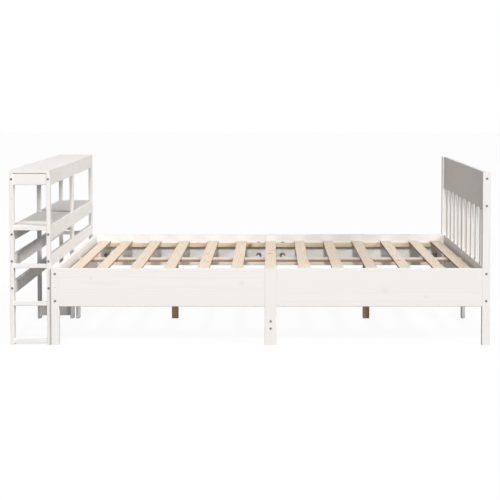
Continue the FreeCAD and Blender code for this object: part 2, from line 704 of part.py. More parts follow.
main()
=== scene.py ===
"""Looks for a white painted pine bed with a slatted headboard and a bookcase at its low end.

Each board keeps its CAD shape and gets a pine finish with its own grain. The fixings' flat-sided
solids give way to turned ones. Sizes are in millimetres, and those of the studio are in metres.
"""
import logging
import math
from abc import ABC, abstractmethod
from dataclasses import dataclass
from enum import Enum
from typing import Any

import bpy
import numpy as np
from mathutils import Matrix, Vector


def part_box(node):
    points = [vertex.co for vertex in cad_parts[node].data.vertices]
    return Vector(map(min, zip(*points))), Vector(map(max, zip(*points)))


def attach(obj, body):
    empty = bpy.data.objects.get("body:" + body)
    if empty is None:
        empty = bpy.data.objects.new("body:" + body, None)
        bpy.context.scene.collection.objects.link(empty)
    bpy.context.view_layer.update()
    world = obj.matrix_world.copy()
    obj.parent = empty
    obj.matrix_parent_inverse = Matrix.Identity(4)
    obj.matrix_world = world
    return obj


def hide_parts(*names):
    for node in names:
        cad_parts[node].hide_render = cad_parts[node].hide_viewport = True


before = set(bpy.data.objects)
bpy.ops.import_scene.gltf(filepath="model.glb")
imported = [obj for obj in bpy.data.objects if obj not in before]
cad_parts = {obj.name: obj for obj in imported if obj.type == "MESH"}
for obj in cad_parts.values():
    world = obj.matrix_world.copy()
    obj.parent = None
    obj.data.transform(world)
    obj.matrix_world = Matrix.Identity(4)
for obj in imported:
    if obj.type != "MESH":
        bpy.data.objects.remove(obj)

LOG = logging.getLogger("bookcase_bed")
MM = 0.001
ALONG, INWARD, UP = Vector((1.0, 0.0, 0.0)), Vector((0.0, 1.0, 0.0)), Vector((0.0, 0.0, 1.0))
Socket = bpy.types.NodeSocket
Tree = bpy.types.NodeTree


class Axis(Enum):
    """A direction of the bed: X along it, Y across it, Z up."""

    X = 0
    Y = 1
    Z = 2


def span(node: str, axis: Axis) -> tuple[float, float]:
    """Where a CAD node starts and ends along an axis."""
    low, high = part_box(node)
    return low[axis.value] / MM, high[axis.value] / MM


def middle(node: str, axis: Axis) -> float:
    """Half way between a CAD node's ends along an axis."""
    return sum(span(node, axis)) / 2


def pair_about(place: float, spacing: float) -> tuple[float, float]:
    """Two places a spacing apart, with the given one half way between them."""
    return place - spacing / 2, place + spacing / 2


def linear(hex_colour: str) -> tuple[float, float, float, float]:
    """Turns an sRGB hex colour into linear light.

    Args:
        hex_colour: six hex digits with a leading hash.

    Returns:
        Linear red, green and blue, and an alpha of one.
    """
    levels = np.array([int(hex_colour[i:i + 2], 16) for i in (1, 3, 5)]) / 255.0
    red, green, blue = np.where(levels <= 0.04045, levels / 12.92, ((levels + 0.055) / 1.055) ** 2.4)
    return float(red), float(green), float(blue), 1.0


def add_node(tree: Tree, kind: str, inputs: dict[str | int, Any] | None = None,
             **settings: Any) -> bpy.types.Node:
    """Adds a shader node, sets it up and links it.

    Args:
        tree: the node tree that gets the node.
        kind: Blender's name for the kind of node.
        inputs: socket name or number to a value, or to the output socket that feeds it.
        settings: the node's own settings by name.

    Returns:
        The new node.
    """
    node = tree.nodes.new(kind)
    for name, value in settings.items():
        setattr(node, name, value)
    for name, value in (inputs or {}).items():
        if isinstance(value, Socket):
            tree.links.new(value, node.inputs[name])
        else:
            node.inputs[name].default_value = value
    return node


# The colour sockets of a Mix node that blends colours, among its sockets for other kinds of value.
MIX_FIRST, MIX_SECOND, MIX_RESULT = 6, 7, 2


@dataclass(frozen=True)
class Cut:
    """How a board was cut from the log: which way its grain and its wide face run, and where from.

    Attributes:
        grain: the direction of the fibres.
        width: the direction of the board's wider side.
        centre: a point in the board's middle, in metres.
        pith_mm: where the log's centre lies, across the board's width and below its face.
        seed: a whole number that picks the knots and the wander of the rings.
    """

    grain: Axis
    width: Axis
    centre: tuple[float, float, float]
    pith_mm: tuple[float, float]
    seed: int

    def turn(self) -> Matrix:
        """Finds the rotation from the bed's directions to the board's own.

        Returns:
            The rotation that takes grain, width and thickness to X, Y and Z.
        """
        grain = Vector([float(i == self.grain.value) for i in range(3)])
        width = Vector([float(i == self.width.value) for i in range(3)])
        return Matrix((grain, width, grain.cross(width)))


# How far apart two boards with neighbouring seeds are cut: along the log in metres, and sideways in
# bends of its rings and in patches of its knots.
LOG_STEP, RING_STEP, KNOT_STEP = 0.37, 3.1, 17.3


@dataclass(frozen=True)
class PineFigure:
    """The figure of a pine board: growth rings, knots and fibres, worked out in the solid.

    The ring value is the distance from the log's centre line divided by the ring spacing, bent by a
    slow noise along the grain and pushed aside round each knot. Knots are the cells of a Voronoi
    pattern over the wide face, and half of the cells are left bare. Real rings lie 2 to 3 mm apart
    and real fibres a few hundredths of a millimetre, and both are drawn coarser so that they show.

    Attributes:
        ring_spacing_mm: from one ring to the next.
        year: pairs of how far a year's growth has come and how dark its wood is there.
        wander_mm: how far the rings bend away from straight lines.
        wander_cell_mm: the length and width of one bend, along and across the grain.
        knot_cell_mm: the side of the patch of board that one knot can have.
        bare_share: how many of those patches have no knot.
        knot_radius_mm: the largest knot's radius.
        knot_fade: where a knot's colour starts and is full, in knot radii from its middle.
        halo_fade: the same for the stain round it.
        knot_push: how far a knot pushes the rings aside, in knot radii.
        fibre_cell_mm: the length and width of a fibre streak.
        shade_cell_mm: the length and width of a lighter or darker stretch of board.
    """

    ring_spacing_mm: float = 4.5
    year: tuple[tuple[float, float], ...] = ((0.0, 0.0), (0.45, 0.12), (0.82, 1.0), (1.0, 0.0))
    wander_mm: float = 7.0
    wander_cell_mm: tuple[float, float] = (420.0, 167.0)
    knot_cell_mm: float = 150.0
    bare_share: float = 0.5
    knot_radius_mm: float = 8.0
    knot_fade: tuple[float, float] = (1.05, 0.75)
    halo_fade: tuple[float, float] = (3.2, 0.9)
    knot_push: float = 1.4
    fibre_cell_mm: tuple[float, float] = (60.0, 1.6)
    shade_cell_mm: tuple[float, float] = (455.0, 91.0)

    def build(self, tree: Tree, cut: Cut) -> dict[str, Socket]:
        """Adds the figure to a material.

        Args:
            tree: the material's node tree.
            cut: how this board was cut.

        Returns:
            Sockets from 0 to 1: "rings", "knots", "halo", "fibres" and "shade".
        """
        turn = cut.turn()
        place = add_node(tree, "ShaderNodeTexCoord")
        grained = add_node(tree, "ShaderNodeMapping", {
            "Vector": place.outputs["Object"],
            "Location": Vector((LOG_STEP * cut.seed, 0.0, 0.0)) - turn @ Vector(cut.centre),
            "Rotation": turn.to_euler()}, vector_type="POINT").outputs["Vector"]
        disc, halo, push = self.knots(tree, grained, cut.seed)
        return {"rings": self.rings(tree, grained, cut, push), "knots": disc, "halo": halo,
                "fibres": self.noise(tree, grained, self.fibre_cell_mm).outputs["Fac"],
                "shade": self.noise(tree, grained, self.shade_cell_mm).outputs["Fac"]}

    @staticmethod
    def noise(tree: Tree, grained: Socket, cell_mm: tuple[float, float], detail: float = 2.0,
              roughness: float = 0.6, shift: float = 0.0) -> bpy.types.Node:
        """Adds a noise whose cells are stretched along the grain.

        Args:
            tree: the material's node tree.
            grained: the place in the board, with the grain along X.
            cell_mm: a cell's length along the grain and its width across it.
            detail: how many finer layers are added.
            roughness: how strong each finer layer is beside the last.
            shift: how many cells the pattern is moved across the grain.

        Returns:
            The noise node.
        """
        length, width = cell_mm
        cells = add_node(tree, "ShaderNodeVectorMath", {
            0: grained, 1: (1000 / length, 1000 / width, 1000 / width), 2: (0.0, shift, 0.0)},
            operation="MULTIPLY_ADD").outputs[0]
        return add_node(tree, "ShaderNodeTexNoise", {
            "Vector": cells, "Scale": 1.0, "Detail": detail, "Roughness": roughness})

    def knots(self, tree: Tree, grained: Socket, seed: int) -> tuple[Socket, ...]:
        """Adds the knots.

        A knot's radius grows with its patch's random number, from nothing at the bare share to the
        largest at one. A point's share is its distance from the knot's middle divided by that radius,
        and disc and halo fade as the share grows.

        Args:
            tree: the material's node tree.
            grained: the place in the board, with the grain along X.
            seed: picks the knots.

        Returns:
            The knots' discs, the stained halo round them and how far they push the rings, in metres.
        """
        cell = self.knot_cell_mm * MM
        flat = add_node(tree, "ShaderNodeVectorMath", {
            0: grained, 1: (1 / cell, 1 / cell, 0.0), 2: (0.0, KNOT_STEP * seed, 0.0)},
            operation="MULTIPLY_ADD").outputs[0]
        cells = add_node(tree, "ShaderNodeTexVoronoi", {"Vector": flat, "Scale": 1.0, "Randomness": 0.9},
                         voronoi_dimensions="2D")
        chance = add_node(tree, "ShaderNodeSeparateColor", {"Color": cells.outputs["Color"]}).outputs["Red"]
        radius = add_node(tree, "ShaderNodeMapRange", {
            "Value": chance, "From Min": self.bare_share, "From Max": 1.0,
            "To Min": 1e-4, "To Max": self.knot_radius_mm / self.knot_cell_mm}).outputs["Result"]
        share = add_node(tree, "ShaderNodeMath", {0: cells.outputs["Distance"], 1: radius},
                         operation="DIVIDE").outputs[0]
        disc, halo = (
            add_node(tree, "ShaderNodeMapRange", {
                "Value": share, "From Min": none, "From Max": full, "To Min": 0.0, "To Max": 1.0},
                interpolation_type="SMOOTHSTEP").outputs["Result"]
            for none, full in (self.knot_fade, self.halo_fade))
        reach = add_node(tree, "ShaderNodeMath", {0: radius, 1: cell * self.knot_push},
                         operation="MULTIPLY").outputs[0]
        push = add_node(tree, "ShaderNodeMath", {0: halo, 1: reach}, operation="MULTIPLY").outputs[0]
        return disc, halo, push

    def rings(self, tree: Tree, grained: Socket, cut: Cut, push: Socket) -> Socket:
        """Adds the growth rings: pale early wood that darkens to a narrow line of late wood.

        The number of rings is the distance from the pith, with the knots' push, divided by the ring
        spacing. What is left of it after the last whole ring goes through a ramp, so that the wood
        darkens slowly and turns pale again at once, as a year's growth does.

        Args:
            tree: the material's node tree.
            grained: the place in the board, with the grain along X.
            cut: how this board was cut.
            push: how far the knots push the rings, in metres.

        Returns:
            A socket that is 0 in early wood and 1 in late wood.
        """
        slow = self.noise(tree, grained, self.wander_cell_mm, 3.0, 0.45, RING_STEP * cut.seed)
        wander = 2 * self.wander_mm * MM
        bent = add_node(tree, "ShaderNodeVectorMath", {
            0: slow.outputs["Color"], 1: (0.0, wander, wander), 2: grained},
            operation="MULTIPLY_ADD").outputs[0]
        across = add_node(tree, "ShaderNodeVectorMath", {
            0: bent, 1: (0.0, 1.0, 1.0), 2: (0.0, -cut.pith_mm[0] * MM, cut.pith_mm[1] * MM)},
            operation="MULTIPLY_ADD").outputs[0]
        reach = add_node(tree, "ShaderNodeVectorMath", {0: across}, operation="LENGTH").outputs["Value"]
        pushed = add_node(tree, "ShaderNodeMath", {0: reach, 1: push}, operation="ADD").outputs[0]
        count = add_node(tree, "ShaderNodeMath", {0: pushed, 1: 1000 / self.ring_spacing_mm},
                         operation="MULTIPLY").outputs[0]
        phase = add_node(tree, "ShaderNodeMath", {0: count}, operation="FRACT").outputs[0]
        ramp = add_node(tree, "ShaderNodeValToRGB", {"Fac": phase})
        stops = ramp.color_ramp.elements
        for position, _ in self.year[1:-1]:
            stops.new(position)
        for stop, (_, dark) in zip(stops, self.year):
            stop.color = (dark, dark, dark, 1.0)
        return ramp.outputs["Color"]


def blend(tree: Tree, factor: Socket, first: Any, second: Any,
          strength: float = 1.0) -> Socket:
    """Blends two colours.

    Args:
        tree: the material's node tree.
        factor: 0 gives the first colour, 1 the second.
        first: a colour or the socket that gives it.
        second: a colour or the socket that gives it.
        strength: how much of the factor is used.

    Returns:
        The blended colour's socket.
    """
    used = add_node(tree, "ShaderNodeMath", {0: factor, 1: strength}, operation="MULTIPLY").outputs[0]
    mix = add_node(tree, "ShaderNodeMix", {"Factor": used, MIX_FIRST: first, MIX_SECOND: second},
                   data_type="RGBA")
    return mix.outputs[MIX_RESULT]


class Finish(ABC):
    """A surface finish that can make a material for one piece."""

    label = ""

    def material(self, piece: str, cut: Cut) -> bpy.types.Material:
        """Makes the finish's material for one piece.

        Args:
            piece: the piece's name.
            cut: how its board was cut.

        Returns:
            The material, named for the finish and the piece.
        """
        made = bpy.data.materials.new(f"{self.label}_{piece}")
        made.use_nodes = True
        made.node_tree.nodes.clear()
        surface = self.surface(made.node_tree, cut)
        add_node(made.node_tree, "ShaderNodeOutputMaterial", {"Surface": surface})
        return made

    @abstractmethod
    def surface(self, tree: Tree, cut: Cut) -> Socket:
        """Adds the finish's shader and returns its output."""


@dataclass(frozen=True)
class PaintedPine(Finish):
    """Pine in thin matt white paint, put on with a roller.

    To the eye it is a warm, dull white without clear reflections. The rings and knots only just show
    through the paint, and their grain lifts it by a tenth of a millimetre or so.

    Attributes:
        paint: the paint's colour.
        ring_tint, knot_tint: its colour over a late wood line, and over a knot and its stain.
        ring_share, knot_share: how much of those tints shows through.
        gloss: the strength of its reflections, where 0.5 is that of bare varnish.
        relief_mm, relief_share: how far the grain stands up and how much of that the light shows.
        figure: the pine under the paint, drawn with wider rings than bare pine's so that they show.
    """

    paint: str = "#EFECE9"
    ring_tint: str = "#E8E3DE"
    knot_tint: str = "#DACFC3"
    ring_share: float = 0.3
    knot_share: float = 0.22
    roughness: float = 0.6
    gloss: float = 0.12
    relief_mm: float = 0.15
    relief_share: float = 0.25
    figure: PineFigure = PineFigure(ring_spacing_mm=6.0, knot_cell_mm=230.0, knot_radius_mm=11.0)
    label = "rolled_white_paint_on_pine"

    def surface(self, tree: Tree, cut: Cut) -> Socket:
        """Adds white paint over faint rings and knots.

        Args:
            tree: the material's node tree.
            cut: how this board was cut.

        Returns:
            The shader's output.
        """
        figure = self.figure.build(tree, cut)
        ringed = blend(tree, figure["rings"], linear(self.paint), linear(self.ring_tint), self.ring_share)
        knotted = blend(tree, figure["halo"], ringed, linear(self.knot_tint), self.knot_share)
        relief = add_node(tree, "ShaderNodeMath", {0: figure["rings"], 1: figure["fibres"]},
                          operation="ADD").outputs[0]
        bump = add_node(tree, "ShaderNodeBump", {
            "Height": relief, "Distance": self.relief_mm * MM, "Strength": self.relief_share})
        return add_node(tree, "ShaderNodeBsdfPrincipled", {
            "Base Color": knotted, "Roughness": self.roughness, "Specular IOR Level": self.gloss,
            "Normal": bump.outputs["Normal"]}).outputs["BSDF"]


@dataclass(frozen=True)
class NaturalPine(Finish):
    """Planed, unpainted pine.

    To the eye it is yellowish, with browner lines of late wood, red-brown knots in a stained patch of
    their own, fine streaks along the grain and hardly any gloss.

    Attributes:
        early_wood, late_wood: the colours between the rings' lines and of the lines.
        knot, knot_edge: the colours of a knot and of the stain round it.
        shade: the colour that whole stretches of the board tend to.
        painted_side_shade: painted shade, a darker brown for the narrow sides of slats and beam.
        painted_side_shade_share: how much of that colour they have, where 0 leaves them unshaded.
        ring_share, stain_share, knot_share, streak_share, shade_share: how much of each colour shows.
        gloss: the strength of its reflections, where 0.5 is that of bare varnish.
        relief_mm, relief_share: how far the fibres stand up and how much of that the light shows.
        figure: the pine's rings, knots and fibres.
    """

    early_wood: str = "#F4E6D6"
    late_wood: str = "#DCBF9D"
    knot: str = "#8A5632"
    knot_edge: str = "#B98858"
    shade: str = "#EDDBC4"
    painted_side_shade: str = "#946F4B"
    painted_side_shade_share: float = 0.0
    ring_share: float = 0.5
    stain_share: float = 0.55
    knot_share: float = 0.85
    streak_share: float = 0.18
    shade_share: float = 0.5
    roughness: float = 0.65
    gloss: float = 0.3
    relief_mm: float = 0.12
    relief_share: float = 0.4
    figure: PineFigure = PineFigure()
    label = "planed_pine"

    def surface(self, tree: Tree, cut: Cut) -> Socket:
        """Adds bare pine with rings, stained knots and fine fibres.

        Args:
            tree: the material's node tree.
            cut: how this board was cut.

        Returns:
            The shader's output.
        """
        figure = self.figure.build(tree, cut)
        colour = linear(self.early_wood)
        for layer, tint, share in (
                ("shade", self.shade, self.shade_share), ("rings", self.late_wood, self.ring_share),
                ("halo", self.knot_edge, self.stain_share), ("knots", self.knot, self.knot_share),
                ("fibres", self.late_wood, self.streak_share)):
            colour = blend(tree, figure[layer], colour, linear(tint), share)
        # Painted shade: the narrow sides are blended towards a darker brown.
        if self.painted_side_shade_share:
            colour = blend(tree, self.narrow_sides(tree, cut), colour, linear(self.painted_side_shade), self.painted_side_shade_share)
        bump = add_node(tree, "ShaderNodeBump", {
            "Height": figure["fibres"], "Distance": self.relief_mm * MM, "Strength": self.relief_share})
        return add_node(tree, "ShaderNodeBsdfPrincipled", {
            "Base Color": colour, "Roughness": self.roughness, "Specular IOR Level": self.gloss,
            "Normal": bump.outputs["Normal"]}).outputs["BSDF"]

    @staticmethod
    def narrow_sides(tree: Tree, cut: Cut) -> Socket:
        """Finds the narrow sides for painted shade by how squarely a surface faces along the board's width.

        Args:
            tree: the material's node tree.
            cut: how this board was cut.

        Returns:
            A socket that is 1 on the narrow sides and 0 elsewhere.
        """
        width = tuple(float(i == cut.width.value) for i in range(3))
        facing = add_node(tree, "ShaderNodeVectorMath", {
            0: add_node(tree, "ShaderNodeTexCoord").outputs["Normal"], 1: width},
            operation="DOT_PRODUCT").outputs["Value"]
        size = add_node(tree, "ShaderNodeMath", {0: facing}, operation="ABSOLUTE").outputs[0]
        return add_node(tree, "ShaderNodeMapRange", {"Value": size, "From Min": 0.5, "From Max": 0.9}
                        ).outputs["Result"]


@dataclass(frozen=True)
class ZincSteel(Finish):
    """Steel of screws, bolts and nuts, zinc-plated in a bath.

    To the eye it is a bluish grey metal, half dull, with a cloudy spangle. The real spangle is under
    a tenth of a millimetre wide, and it is drawn coarser so that it shows on a screw's head.

    Attributes:
        bright, dull: the colours between which the spangle's patches lie.
        roughness: the middle of the plating's roughness.
        roughness_spread: how much brighter and duller patches go below and above that.
        spangle_mm: a patch's width.
    """

    bright: str = "#8E8F91"
    dull: str = "#737476"
    roughness: float = 0.38
    roughness_spread: tuple[float, float] = (0.06, 0.1)
    spangle_mm: float = 1.2
    label = "zinc_plated_steel"

    def surface(self, tree: Tree, cut: Cut) -> Socket:
        """Adds plated steel whose brightness and gloss change a little from patch to patch.

        Args:
            tree: the material's node tree.
            cut: not used, because the plating has no grain.

        Returns:
            The shader's output.
        """
        place = add_node(tree, "ShaderNodeTexCoord").outputs["Object"]
        spangle = add_node(tree, "ShaderNodeTexVoronoi", {"Vector": place, "Scale": 1000 / self.spangle_mm})
        patch = add_node(tree, "ShaderNodeSeparateColor", {
            "Color": spangle.outputs["Color"]}).outputs["Red"]
        below, above = self.roughness_spread
        rough = add_node(tree, "ShaderNodeMapRange", {
            "Value": patch, "To Min": self.roughness - below, "To Max": self.roughness + above})
        return add_node(tree, "ShaderNodeBsdfPrincipled", {
            "Base Color": blend(tree, patch, linear(self.bright), linear(self.dull)),
            "Metallic": 1.0, "Roughness": rough.outputs["Result"]}).outputs["BSDF"]


WHITE = PaintedPine()
# Clear pine. Its narrow sides get painted shade: dark lines between the pale faces of slats and beam.
BARE = NaturalPine(painted_side_shade_share=0.8)
# A cheaper cut with large knots, for cleats that a mattress hides.
# Its duller, browner colours are painted shade, standing in for the shade on the cleats.
KNOTTY_SHADED = NaturalPine(early_wood="#E6D5BF", late_wood="#CDAE88", shade="#DCC6A8",
                     figure=PineFigure(knot_cell_mm=260.0, knot_radius_mm=13.0))
# Brown wood from near the pith, much darker than the slats above it: partly painted shade for the shadow
# under the bed.
HEARTWOOD_SHADED = NaturalPine(early_wood="#BFA58A", late_wood="#9C7755", shade="#AE8D6C")
PLATED = ZincSteel()
# Plating has no grain, so any cut will do for it.
UNCUT = Cut(Axis.X, Axis.Y, (0.0, 0.0, 0.0), (0.0, 0.0), 0)

# Where a board's pith can lie: across its width from its middle, and below its face.
PITH_ACROSS_MM, PITH_BELOW_MM = (-40, 40), (25, 70)


@dataclass(frozen=True)
class Timber:
    """A CAD node that is one board or several cut alike.

    Attributes:
        node: the node's name.
        grain: the direction of its fibres.
        width: the direction of its wider side.
        finish: what covers it.
    """

    node: str
    grain: Axis
    width: Axis
    finish: Finish = WHITE

    def dress(self, seed: int) -> None:
        """Gives the node's object the finish, with its own grain.

        Args:
            seed: picks where in the log the board comes from.
        """
        low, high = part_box(self.node)
        chance = np.random.default_rng(seed)
        pith = (float(chance.uniform(*PITH_ACROSS_MM)), float(chance.uniform(*PITH_BELOW_MM)))
        cut = Cut(self.grain, self.width, tuple((Vector(low) + Vector(high)) / 2), pith, seed)
        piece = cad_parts[self.node]
        piece.data.materials.clear()
        piece.data.materials.append(self.finish.material(self.node, cut))
        LOG.info("%s dressed in %s", self.node, self.finish.label)


@dataclass
class Joinery:
    """A sub-assembly of boards.

    Attributes:
        timbers: its boards, in the order in which they are dressed.
    """

    timbers: tuple[Timber, ...] = ()

    def dress(self, first_seed: int) -> int:
        """Gives every board its finish, each cut from another place in the log.

        Args:
            first_seed: the first board's seed.

        Returns:
            The seed for the next sub-assembly's first board.
        """
        for seed, timber in enumerate(self.timbers, first_seed):
            timber.dress(seed)
        return first_seed + len(self.timbers)


@dataclass
class Bookcase(Joinery):
    """The open bookcase at the low end: six posts, two bays, shelves and a top board."""

    timbers: tuple[Timber, ...] = (
        *(Timber(f"case_post_{depth}_{side}", Axis.Z, Axis.Y)
          for depth in ("front", "back") for side in ("right", "left", "centre")),
        *(Timber(f"case_{level}_rails", Axis.Y, Axis.Z) for level in ("top", "shelf", "middle", "lower")),
        Timber("case_top_board", Axis.Y, Axis.X),
        Timber("case_shelf_boards", Axis.Y, Axis.X),
        Timber("case_rungs", Axis.X, Axis.Z),
        Timber("case_frame_top_rails", Axis.X, Axis.Z),
        Timber("case_centre_ties", Axis.X, Axis.Z),
    )


@dataclass
class Bedstead(Joinery):
    """The bed's painted frame: low foot end, tall slatted head end, side rails and middle legs."""

    timbers: tuple[Timber, ...] = (
        *(Timber(f"foot_board_{side}", Axis.Y, Axis.Z) for side in ("right", "left")),
        *(Timber(f"foot_leg_{side}", Axis.Z, Axis.X) for side in ("right", "left")),
        Timber("foot_leg_centre", Axis.Z, Axis.Y),
        *(Timber(f"head_post_{side}", Axis.Z, Axis.X) for side in ("right", "left")),
        Timber("head_post_centre", Axis.Z, Axis.Y),
        Timber("head_lower_boards", Axis.Y, Axis.Z),
        *(Timber(f"head_panel_{side}", Axis.Y, Axis.Z) for side in ("right", "left")),
        Timber("head_slats", Axis.Z, Axis.Y),
        *(Timber(f"side_rail_{side}_{end}", Axis.X, Axis.Z)
          for side in ("right", "left") for end in ("foot", "head")),
        *(Timber(f"middle_leg_{side}", Axis.Z, Axis.X) for side in ("right", "left")),
        Timber("middle_stretcher", Axis.Y, Axis.Z),
    )


@dataclass
class SlatBase(Joinery):
    """The bare pine base that carries the mattress: slats, cleats, centre beam and its legs."""

    timbers: tuple[Timber, ...] = (
        # The bare pine paints shade on the narrow sides of slats, beam and ledgers.
        *(Timber(node, Axis.Y, Axis.X, BARE)
          for node in sorted(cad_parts) if node.startswith("bed_slat_")),
        # The cleats' darkened pine is painted shade.
        Timber("slat_cleats", Axis.X, Axis.Z, KNOTTY_SHADED),
        Timber("centre_beam", Axis.X, Axis.Y, BARE),
        Timber("beam_ledgers", Axis.Y, Axis.Z, BARE),
        # The legs' dark pine is partly painted shade.
        Timber("support_legs", Axis.Z, Axis.X, HEARTWOOD_SHADED),
    )


@dataclass(frozen=True)
class Shell:
    """A closed surface: its points in millimetres and the corner numbers of its faces."""

    points: np.ndarray
    faces: list[tuple[int, ...]]

    def placed(self, start: tuple[float, float, float], along: Vector) -> "Shell":
        """Turns the shell's own X to a level direction and moves its origin to a place.

        Args:
            start: where the shell's origin goes, in millimetres.
            along: the direction that its X takes. Its Z stays upright.

        Returns:
            The moved shell.
        """
        turn = np.array([along[:], UP.cross(along)[:], UP[:]])
        return Shell(self.points @ turn + np.array(start), self.faces)

    def mirrored(self) -> "Shell":
        """The same shell across the bed, with its faces turned round so that they still point out."""
        return Shell(self.points * (1.0, -1.0, 1.0), [face[::-1] for face in self.faces])


def ring_grid(points: np.ndarray, ring: bool = False) -> Shell:
    """Joins the rows of a grid of points into a tube.

    Point (i, j) is joined to (i + 1, j) and to (i, j + 1), and the last column to the first. The first
    and last rows are closed with one flat face each, or are joined to each other to make a ring.

    Args:
        points: an array of rows, columns and coordinates, with the columns going round the X axis.
        ring: whether the last row is joined to the first.

    Returns:
        The closed shell.
    """
    rows, columns = points.shape[:2]
    number = np.arange(rows * columns).reshape(rows, columns)
    if ring:
        number = np.vstack([number, number[:1]])
    after = np.roll(number, -1, axis=1)
    quads = np.stack([number[:-1], after[:-1], after[1:], number[1:]], axis=-1).reshape(-1, 4)
    faces = [tuple(quad) for quad in quads.tolist()]
    if not ring:
        faces += [tuple(number[0, ::-1].tolist()), tuple(number[-1].tolist())]
    return Shell(points.reshape(-1, 3), faces)


def round_angles(columns: int) -> np.ndarray:
    """The angles of evenly spaced columns all the way round, from nought."""
    return np.linspace(0.0, 2 * np.pi, columns, endpoint=False)


def hexagon(angle: np.ndarray) -> np.ndarray:
    """How far a hexagon reaches at each angle: 1 / cos of the angle from its nearest flat's middle."""
    return 1 / np.cos((angle + np.pi / 6) % (np.pi / 3) - np.pi / 6)


def swept(along: np.ndarray, reach: np.ndarray, angle: np.ndarray) -> np.ndarray:
    """Points (x, r cos t, r sin t), for x along the axis, the reach r from it and the angle t."""
    return np.stack(np.broadcast_arrays(along, reach * np.cos(angle), reach * np.sin(angle)), axis=-1)


def turned(profile: list[tuple[float, float]], columns: int = 32, hexagon_rows: range = range(0),
           ring: bool = False) -> Shell:
    """Turns a profile about the X axis, with hexagonal rows where it says.

    A point is (x, r cos t, r sin t) for the profile's x and r and for angles t all the way round. In a
    hexagonal row r is half the distance across flats, times what a hexagon reaches at that angle.

    Args:
        profile: pairs of distance along the axis and radius, in millimetres.
        columns: how many columns go round.
        hexagon_rows: the rows that are hexagons.
        ring: whether the profile is a loop, as of a washer.

    Returns:
        The turned shell.
    """
    along, radius = np.array(profile).T[:, :, None]
    angle = round_angles(columns)
    is_hexagon = np.isin(np.arange(len(profile)), np.array(hexagon_rows))[:, None]
    return ring_grid(swept(along, radius * np.where(is_hexagon, hexagon(angle), 1.0), angle), ring)


# The radius of the tiny flat face that closes a turned shell on its axis.
AXIS_FACE = 0.15


@dataclass(frozen=True)
class SocketScrew:
    """A screw with a round head, a hexagon socket and a rounded rim.

    Attributes:
        head: the head's diameter.
        height: the head's height.
        shank: the shank's diameter.
        socket: the socket's width across flats.
        socket_share: the socket's depth as a share of the head's height.
        cone: how much deeper the drilled cone at its bottom is.
        sunk: how far the head's top lies below the wood.
        rounding: the radius of the rim's rounded edge.
        mouth: how far the socket widens at its mouth.
        bevel: how deep that mouth is, and the size of the fillet under the head.
        seat_bevel: the bevel round the head's underside.
        tip, tip_taper: the length of the tapered tip and how much of its radius it loses.
    """

    head: float = 10.5
    height: float = 3.6
    shank: float = 6.0
    socket: float = 4.0
    socket_share: float = 0.6
    cone: float = 0.8
    sunk: float = 0.8
    rounding: float = 0.9
    mouth: float = 0.35
    bevel: float = 0.3
    seat_bevel: float = 0.2
    tip: float = 1.5
    tip_taper: float = 1.2

    def shell(self, length: float) -> Shell:
        """The screw along X, from the bottom of its socket out over the head and down to its tip.

        The rim's edge is a quarter circle: at the angle a it lies r (1 - cos a) below the head's top
        and r (1 - sin a) inside the rim, for the rounding's radius r.

        Args:
            length: from the wood's face to the tip.

        Returns:
            The screw with the wood's face at X = 0.
        """
        top, seat = self.sunk, self.sunk + self.height
        rim, flat, shank = self.head / 2, self.socket / 2, self.shank / 2
        depth = top + self.socket_share * self.height
        edge = [(top + self.rounding * (1 - math.cos(angle)), rim - self.rounding * (1 - math.sin(angle)))
                for angle in np.linspace(0.0, np.pi / 2, 4)]
        profile = [
            (depth + self.cone, AXIS_FACE), (depth, flat * 0.9), (depth, flat), (top + self.bevel, flat),
            (top, flat + self.mouth), *edge, (seat - self.seat_bevel, rim), (seat, rim - self.seat_bevel),
            (seat, shank + self.bevel), (seat + self.bevel, shank),
            (length - self.tip, shank), (length, shank - self.tip_taper),
        ]
        return turned(profile, 36, range(2, 5))


@dataclass(frozen=True)
class ThreadedEnd:
    """The threaded end of an M8 bolt or rod.

    A point at angle t and distance x along the axis has the radius R - d w(x / p - t / 2 pi), where w is a
    zigzag between nought and one, p is the pitch and d the depth, so the ridge climbs one pitch a turn.

    Attributes:
        radius: the ridge's radius R.
        pitch: from one turn of the ridge to the next.
        depth: how deep the groove is.
        tip_share: how much of its radius the last pitch keeps at the very tip.
        columns: how many columns go round.
        rows_a_pitch: how many rows of points one pitch has.
    """

    radius: float = 4.0
    pitch: float = 1.25
    depth: float = 0.65
    tip_share: float = 0.82
    columns: int = 20
    rows_a_pitch: int = 6

    def shell(self, length: float) -> Shell:
        """Makes a thread along X from X = 0, with its last pitch tapered.

        Args:
            length: the thread's length.

        Returns:
            The thread.
        """
        rows = int(round(length / self.pitch * self.rows_a_pitch)) + 1
        along = np.linspace(0.0, length, rows)[:, None]
        angle = round_angles(self.columns)
        turn = along / self.pitch - angle / (2 * np.pi)
        zigzag = 2 * np.abs(turn - np.floor(turn) - 0.5)
        taper = np.clip((length - along) / self.pitch, 0.0, 1.0)
        share = self.tip_share + (1 - self.tip_share) * taper
        return ring_grid(swept(along, (self.radius - self.depth * zigzag) * share, angle))


